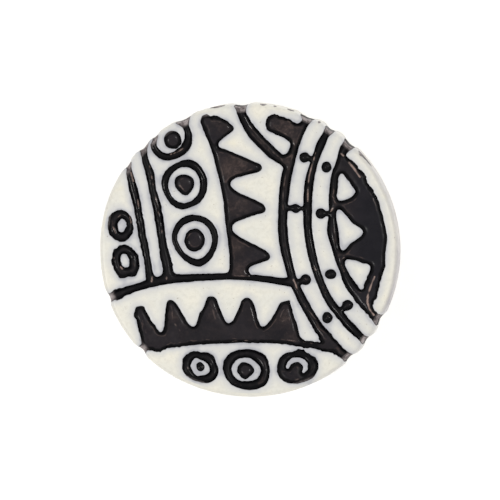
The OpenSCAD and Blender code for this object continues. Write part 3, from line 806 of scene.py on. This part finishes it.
def cream_material():
    """Glossy cream paste with clouding, grain, specks, painted shade beside the ink and on the rim edge, and
    wear.
    """
    m = Nodes("cream")
    gap = m.attribute("ink_gap")
    # Clouding and fine grain
    colour = m.mix(m.ramp(m.noise(190, 3, 0.6), 0.3, 0.7), rgb(232, 231, 222), rgb(242, 238, 224))
    colour = m.mix(m.ramp(m.noise(130, 3, 0.6, 15.0), 0.58, 0.75, 0, 0.6), colour, rgb(238, 229, 200))
    colour = m.mix(m.ramp(m.noise(1500, 3, 0.7, 18.0), 0.4, 0.7, 0, 0.35), colour, rgb(212, 209, 198))
    # Painted shade: the cream turns grey and cool beside the ink
    gap = m.math("ADD", gap, m.ramp(m.noise(300, 3, 0.6, 12.0), 0.3, 0.7, -0.3, 0.3, False))
    colour = m.mix(m.ramp(gap, 0.3, 1.9, 1, 0), colour, rgb(215, 215, 213))
    colour = m.mix(m.ramp(gap, -0.1, 0.6, 1, 0), colour, rgb(182, 183, 188))
    # Specks, painted shade on the rim edge, rubbed places, and sanding marks on the back
    speck = m.ramp(m.noise(2300, 1, 0.5, 3.0), 0.7, 0.76)
    patch = m.ramp(m.noise(420, 2, 0.5, 9.0), 0.5, 0.62)
    colour = m.mix(m.math("MULTIPLY", m.math("MULTIPLY", speck, patch), 0.5), colour, rgb(140, 128, 108))
    rim_shade_patches = m.ramp(m.noise(500, 2, 0.6, 5.0), 0.3, 0.65, 0.75, 1.0)
    colour = m.mix(m.math("MULTIPLY", m.attribute("rim_shade"), rim_shade_patches), colour, rgb(168, 164, 168))
    patchy = m.ramp(m.noise(620, 4, 0.65, 31.0), 0.42, 0.6, 0.15, 1.0)
    rubbed = m.math("MULTIPLY", m.attribute("wear"), patchy)
    colour = m.mix(rubbed, colour, rgb(186, 176, 158))
    grain = m.math("MULTIPLY", m.attribute("back"), m.ramp(m.streaks(140, 26, 41.0), 0.45, 0.62))
    colour = m.mix(m.math("MULTIPLY", grain, 0.45), colour, rgb(196, 188, 170))
    m.put(m.shader.inputs["Base Color"], colour)
    gloss = m.ramp(m.noise(700, 3, 0.6, 2.0), 0.3, 0.7, 0.3, 0.42)
    dull = m.math("MULTIPLY", m.math("ADD", rubbed, grain), 0.25)
    m.put(m.shader.inputs["Roughness"], m.math("ADD", gloss, dull))
    m.shader.inputs["IOR"].default_value = 1.46
    m.bump((m.noise(520, 3, 0.55, 1.0), 0.00006), (m.noise(3800, 2, 0.6, 4.0), 0.000012), (grain, 0.00003))
    return m.material


def ink_material():
    """Glossy black ink: walls blackened with painted shade and a painted highlight at their foot, brownish
    thin patches, streaks with painted highlights, narrow grooves blackened with painted shade, and a grey
    film over the rim that is partly painted reflection.
    """
    m = Nodes("ink")
    # Floors, with thin brownish patches and smears
    warm = m.attribute("warm")
    colour = m.mix(m.ramp(m.noise(170, 3, 0.6, 6.0), 0.42, 0.62), rgb(28, 27, 32), rgb(35, 33, 38))
    thin = m.math("MULTIPLY", warm, m.ramp(m.noise(260, 3, 0.6, 2.5), 0.3, 0.6, 0.35, 1))
    colour = m.mix(thin, colour, rgb(64, 54, 51))
    smear = m.math("MULTIPLY", warm, m.ramp(m.noise(1300, 4, 0.7, 2.0), 0.4, 0.75, 0, 0.5))
    colour = m.mix(smear, colour, rgb(112, 94, 88))
    # Black walls, which are painted shade, and a broken lighter line where they meet the floor, which is a
    # painted highlight
    wander = m.ramp(m.noise(900, 2, 0.5, 4.0), 0.3, 0.7, -0.07, 0.07, False)
    depth = m.math("ADD", m.attribute("ink_depth"), wander)
    colour = m.mix(m.ramp(depth, 0.44, 0.66, 1, 0), colour, rgb(7, 6, 9))
    line = m.math("MULTIPLY", m.ramp(depth, 0.64, 0.72), m.ramp(depth, 0.76, 0.86, 1, 0))
    broken = m.ramp(m.noise(330, 3, 0.6, 21.0), 0.54, 0.64, 0.0, 0.6)
    colour = m.mix(m.math("MULTIPLY", line, broken), colour, rgb(92, 77, 72))
    # Narrow grooves are blacker with painted shade, and burrs and streaks shine with a painted highlight in
    # their colour
    narrow = m.attribute("narrow")
    colour = m.mix(m.math("MULTIPLY", narrow, 0.6), colour, rgb(8, 8, 11))
    shine = m.attribute("shine")
    colour = m.mix(m.ramp(shine, 0.2, 0.85, 0, 0.9), colour, rgb(168, 146, 137))
    # Mottled grey over the rim, partly thin ink and partly painted reflection, black down the side, and a
    # dark line along its edges
    over = m.attribute("over_rim")
    mottle = m.ramp(m.noise(1100, 3, 0.7), 0.35, 0.65)
    colour = m.mix(over, colour, m.mix(mottle, rgb(102, 94, 94), rgb(172, 163, 162)))
    colour = m.mix(m.ramp(over, 1, 1.8), colour, m.mix(mottle, rgb(14, 12, 14), rgb(46, 39, 39)))
    outline = m.math("MULTIPLY", m.ramp(over, 0.2, 0.8), m.ramp(m.attribute("ink_depth"), 0.05, 0.2, 0.85, 0))
    colour = m.mix(outline, colour, rgb(20, 17, 18))
    m.put(m.shader.inputs["Base Color"], colour)
    gloss = m.ramp(m.noise(230, 4, 0.65, 8.0), 0.4, 0.6, 0.13, 0.46)
    gloss = m.math("SUBTRACT", gloss, m.math("MULTIPLY", shine, 0.15))
    m.put(m.shader.inputs["Roughness"], m.math("ADD", gloss, m.ramp(over, 0, 1, 0, 0.25)))
    m.shader.inputs["Specular IOR Level"].default_value = 0.13
    m.shader.inputs["IOR"].default_value = 1.5
    m.bump((m.noise(800, 3, 0.6, 7.0), 0.00002), (m.noise(3000, 2, 0.6, 5.0), 0.000005))
    return m.material


cream = cream_material()
ink = ink_material()

# ---- Places of the looks ----
total = len(surface)
ring_share, theta = polar(surface)
ring_share = ring_share / outline_radius(theta)
theta = np.degrees(theta) % 360
ink_depth = np.clip(d, 0, None)
# In broad white areas the painted shade beside the ink reaches less far
open_white = np.clip((sampled(breadth, clamped(surface[:, :2])) - 0.9) / 0.8, -0.2, 1)
ink_gap = gap + 0.4 * np.where(row_number > WALL_ROW - 1, 1, open_white)


def arc_mask(start, end, soft=3.0):
    """1 between two angles in degrees, fading over soft degrees."""
    middle, half = (start + end) / 2, (end - start) / 2
    off = np.abs((theta - middle + 180) % 360 - 180)
    return np.clip((half - off) / soft + 0.5, 0, 1)


# Thin grey ink, partly a painted reflection, where it runs over the rim, from a share of the outline's radius
# outwards, longer at the top
longer = arc_mask(86, 99, 4) + arc_mask(112, 121, 4)
thin_from = 0.944 - 0.006 * np.cos(np.radians(theta - 200)) - 0.014 * longer
over_rim = np.clip((ring_share - thin_from) / 0.02, 0, 1)
over_rim = np.where(row_number > 0, np.clip(1 + (row_number - WALL_ROW) / 3, 1, 2), over_rim)
edge_zone = np.clip((ring_share - 0.965) / 0.025, 0, 1)
# Painted shade on the rim edge, strongest on the right: first and last angle, softness and strength
RIM_SHADES = [(-26, 46, 12, 0.5), (334, 362, 8, 0.25), (298, 340, 8, 0.25), (150, 210, 20, 0.15)]
BASE_RIM_SHADE = 0.1
rim_shading = BASE_RIM_SHADE + sum(strength * arc_mask(start, end, soft) for start, end, soft, strength in RIM_SHADES)
rim_shade = edge_zone * np.clip(rim_shading, 0, 1)

# Brownish, thinly coated parts of the floors: x, y, radius and strength
WARM = [
    (-2.2, 13.6, 2.6, 1.0), (-1.8, 7.2, 1.8, 0.8), (-4.6, 20.6, 2.4, 0.3), (-2.6, 0.5, 2, 0.55),
    (-1, -3.6, 2.2, 0.6), (6.2, 20.4, 2.6, 0.9), (7.6, 17.5, 1.6, 0.6), (3.2, 17.8, 1.8, 0.7),
    (6.4, 13.8, 2, 0.7), (6, 10.5, 1.6, 0.5), (14.8, 1.2, 1.8, 0.5), (-12.6, -11, 1.2, 0.35),
    (-6, -10, 1.6, 0.4), (5.4, -11, 2, 0.5), (7, -14.4, 1.6, 0.4), (15.6, 5.6, 1.2, 0.5)]
# Narrow grooves, blackened with painted shade, and the shine of burrs and streaks, painted as a highlight
narrow = 1 - np.clip((sampled(room, clamped(surface[:, :2])) - 0.75) / 0.35, 0, 1)
shine = sampled(streak, clamped(surface[:, :2])) * (row_number == 0)
warm = 0.12 * np.clip((18.5 - surface[:, 0]) / 3, 0, 1)
for middle_x, middle_y, radius, strength in WARM:
    warm = np.maximum(warm, strength * hill(surface[:, 0], surface[:, 1], middle_x, middle_y, radius))

# Handling wear: along the seam round the side, on the edge at the back, and patches of the side wall
side_height = surface[:, 2]
low_side = np.where(row_number > WALL_ROW, 1.0, 0.0)
seam = low_side * np.exp(-((side_height - PARTING_Z) / 0.11) ** 2)
foot = low_side * np.clip((1.3 - side_height) / 1.1, 0, 1)
wear = np.clip(0.75 * seam + 0.5 * foot + 0.12 * low_side, 0, 1)

# ---- Pieces ----
# Body: cream triangles, the bed under the ink, the step between them, and the back round its hollow
bed = surface - axis_up * BED
cream_tri, ink_tri = tri[~on_ink], tri[on_ink]
ea, eb = border_edges(ink_tri).T
step = np.concatenate([np.column_stack([ea, eb, eb + total]), np.column_stack([ea, eb + total, ea + total])])
back_ring = strip_rows[-1]
back_xyz, back_tri, previous = [], [], back_ring
back_count = 2 * total
for shrink, lift in ((0.86, 0.0), (0.8, BACK_HOLLOW)):
    ring_xyz = surface[back_ring] * [shrink, shrink, 0] + [0, 0, lift]
    back_xyz.append(ring_xyz)
    now = back_count + np.arange(count_ring)
    back_count += count_ring
    now_next = np.roll(now, -1)
    back_tri += [np.column_stack([previous, now, now_next]),
                 np.column_stack([previous, now_next, np.roll(previous, -1)])]
    previous = now
back_xyz.append(np.array([[0, 0, BACK_HOLLOW]]))
back_tri.append(np.column_stack([previous, np.full(count_ring, back_count), np.roll(previous, -1)]))
body_xyz = np.concatenate([surface, bed] + back_xyz)
back_tri = np.concatenate(back_tri)
facing_up = plan_area(back_tri, body_xyz) > 0
back_tri[facing_up] = back_tri[facing_up][:, [0, 2, 1]]
body_tri = np.concatenate([cream_tri, ink_tri + total, step, back_tri])
extra = sum(len(x) for x in back_xyz)
back_normal = np.tile([0.0, 0.0, -1.0], (extra, 1))
body_normal = np.concatenate([cream_normal, normal, back_normal])


def padded_out(values, fill):
    """An attribute for the surface, its bed and the back."""
    return np.concatenate([values, values, np.full(extra, fill)])


body = build("cake_body", body_xyz, body_tri, body_normal,
             {"ink_gap": padded_out(ink_gap, 3.0), "rim_shade": padded_out(rim_shade, 0.0),
              "wear": padded_out(wear, 0.3), "back": padded_out(0 * wear, 1.0)}, cream)
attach(body, "root")
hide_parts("body")

# Ink: one closed film for each patch
for k, name in enumerate(INK_NODES):
    mine = tri[tri_owner == k]
    used, compact = np.unique(mine, return_inverse=True)
    xyz, faces, normals, extras = coated(
        compact.reshape(-1, 3), surface[used], (surface - axis_up * COAT)[used], ink_normal[used],
        {"ink_depth": ink_depth[used], "over_rim": over_rim[used], "warm": warm[used], "shine": shine[used],
         "narrow": narrow[used]})
    film = build(name[:-4] + "_coat", xyz, faces, normals, extras, ink)
    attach(film, "root")
    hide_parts(name)

MARK_RISE = 0.03           # how far the marks' tops stand out from the side
MARK_SEAT = 0.003          # and their undersides
MM_PER_DEGREE = 0.43       # about, round the side
# Stray ink on the rim: angle, half length, low and high edge, in degrees and mm
MARKS = [
    (38.3, 1.8, 7.8, 9.8), (40.3, 0.8, 7.8, 10.15), (61, 0.32, 8.8, 10.24), (73.2, 0.75, 8.6, 10.0),
    (79.5, 0.3, 8.9, 9.98), (84.2, 0.65, 8.7, 10.02), (102, 1.5, 8.7, 10.1)]
mark_value = np.full(total, -1.0)
ragged = 0.2 * lattice_noise(np.column_stack([theta * MM_PER_DEGREE, surface[:, 2]]), 0.55, 11)
for at, half, low, high in MARKS:
    off = (theta - at + 180) % 360 - 180
    along = np.clip(1 - (np.radians(off) * MEAN_RADIUS / half) ** 2, 0, 1)
    reach = np.where(along > 0, half * along, -1)
    upper = low + (high - low) * along ** 0.35
    lower = low + 0.9 * (1 - along ** 0.5)
    within = np.minimum(surface[:, 2] - lower, upper - surface[:, 2])
    mark_value = np.maximum(mark_value, np.minimum(reach, within))
mark_value = np.where(row_number > 0, mark_value + ragged, -1.0)
mark_data = np.column_stack([surface, normal, axis_up])
mark_tri, mark_value, mark_data, _ = cut(cream_tri, mark_value, mark_data)
mark_tri = mark_tri[mark_value[mark_tri].sum(axis=1) > 0]
used, compact = np.unique(mark_tri, return_inverse=True)
place, place_normal, outwards = mark_data[used, :3], mark_data[used, 3:6], mark_data[used, 6:9]
none = np.zeros(len(used))
xyz, faces, normals, extras = coated(
    compact.reshape(-1, 3), place + MARK_RISE * outwards, place + MARK_SEAT * outwards, place_normal,
    {"ink_depth": none + 1.0, "over_rim": np.clip(1 + (9.9 - place[:, 2]) / 1.2, 1, 1.8), "warm": none + 0.3,
     "shine": none, "narrow": none})
marks = build("rim_marks_coat", xyz, faces, normals, extras, ink)
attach(marks, "root")
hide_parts("rim_marks_ink")

# ---- Stage, light and camera ----
scene = bpy.context.scene
scene.view_settings.view_transform = "Standard"


def floor():
    """A plain pale floor, which glows a little so that it stays white out to its edges."""
    mesh = bpy.data.meshes.new("floor")
    half = 1.6
    corners = [(x, y, -0.0002) for x, y in ((-half, -half), (half, -half), (half, half), (-half, half))]
    mesh.from_pydata(corners, [], [(0, 1, 2, 3)])
    obj = bpy.data.objects.new("floor", mesh)
    scene.collection.objects.link(obj)
    m = Nodes("floor")
    m.put(m.shader.inputs["Base Color"], (0.9, 0.9, 0.9, 1))
    for key, value in {"Roughness": 0.9, "Specular IOR Level": 0.0, "Emission Color": (1, 1, 1, 1),
                       "Emission Strength": 0.33}.items():
        m.put(m.shader.inputs[key], value)
    mesh.materials.append(m.material)


def lamp(name, place, size, power, colour=(1, 1, 1)):
    """A soft square lamp aimed at the cake."""
    data = bpy.data.lights.new(name, "AREA")
    data.shape = "SQUARE"
    data.size = size
    data.energy = power
    data.color = colour
    obj = bpy.data.objects.new(name, data)
    obj.location = place
    obj.rotation_euler = (Vector((0, 0, 0.01)) - Vector(place)).to_track_quat("-Z", "Y").to_euler()
    scene.collection.objects.link(obj)


floor()
lamp("left", (-0.38, -0.12, 0.46), 0.1, 1.0, (1, 0.98, 0.96))
lamp("right", (0.36, 0.14, 0.47), 0.1, 0.85, (1, 0.98, 0.96))
scene.world = bpy.data.worlds.new("studio")
scene.world.use_nodes = True
background = scene.world.node_tree.nodes["Background"]
background.inputs["Color"].default_value = (1, 1, 1, 1)
background.inputs["Strength"].default_value = 0.6

# Camera: nearly overhead, leaning a little to the upper right
TILT = math.radians(4.5)
TOWARDS = math.radians(30)
DISTANCE = 0.9             # in m
PIXELS_PER_MM = 6.04
SENSOR = 36.0              # in mm
IMAGE_WIDTH = 500
camera_data = bpy.data.cameras.new("camera")
camera_data.sensor_width = SENSOR
camera_data.lens = PIXELS_PER_MM * (DISTANCE / MM) * SENSOR / IMAGE_WIDTH
camera = bpy.data.objects.new("camera", camera_data)
back = Vector((math.sin(TILT) * math.cos(TOWARDS), math.sin(TILT) * math.sin(TOWARDS), math.cos(TILT)))
target = Vector((0.0001, -0.00005, 0.0108))
camera.location = target + back * DISTANCE
right = Vector((1, 0, 0))
up = back.cross(right).normalized()
right = up.cross(back).normalized()
camera.rotation_mode = "QUATERNION"
camera.rotation_quaternion = Matrix((right, up, back)).transposed().to_quaternion()
scene.collection.objects.link(camera)
scene.camera = camera
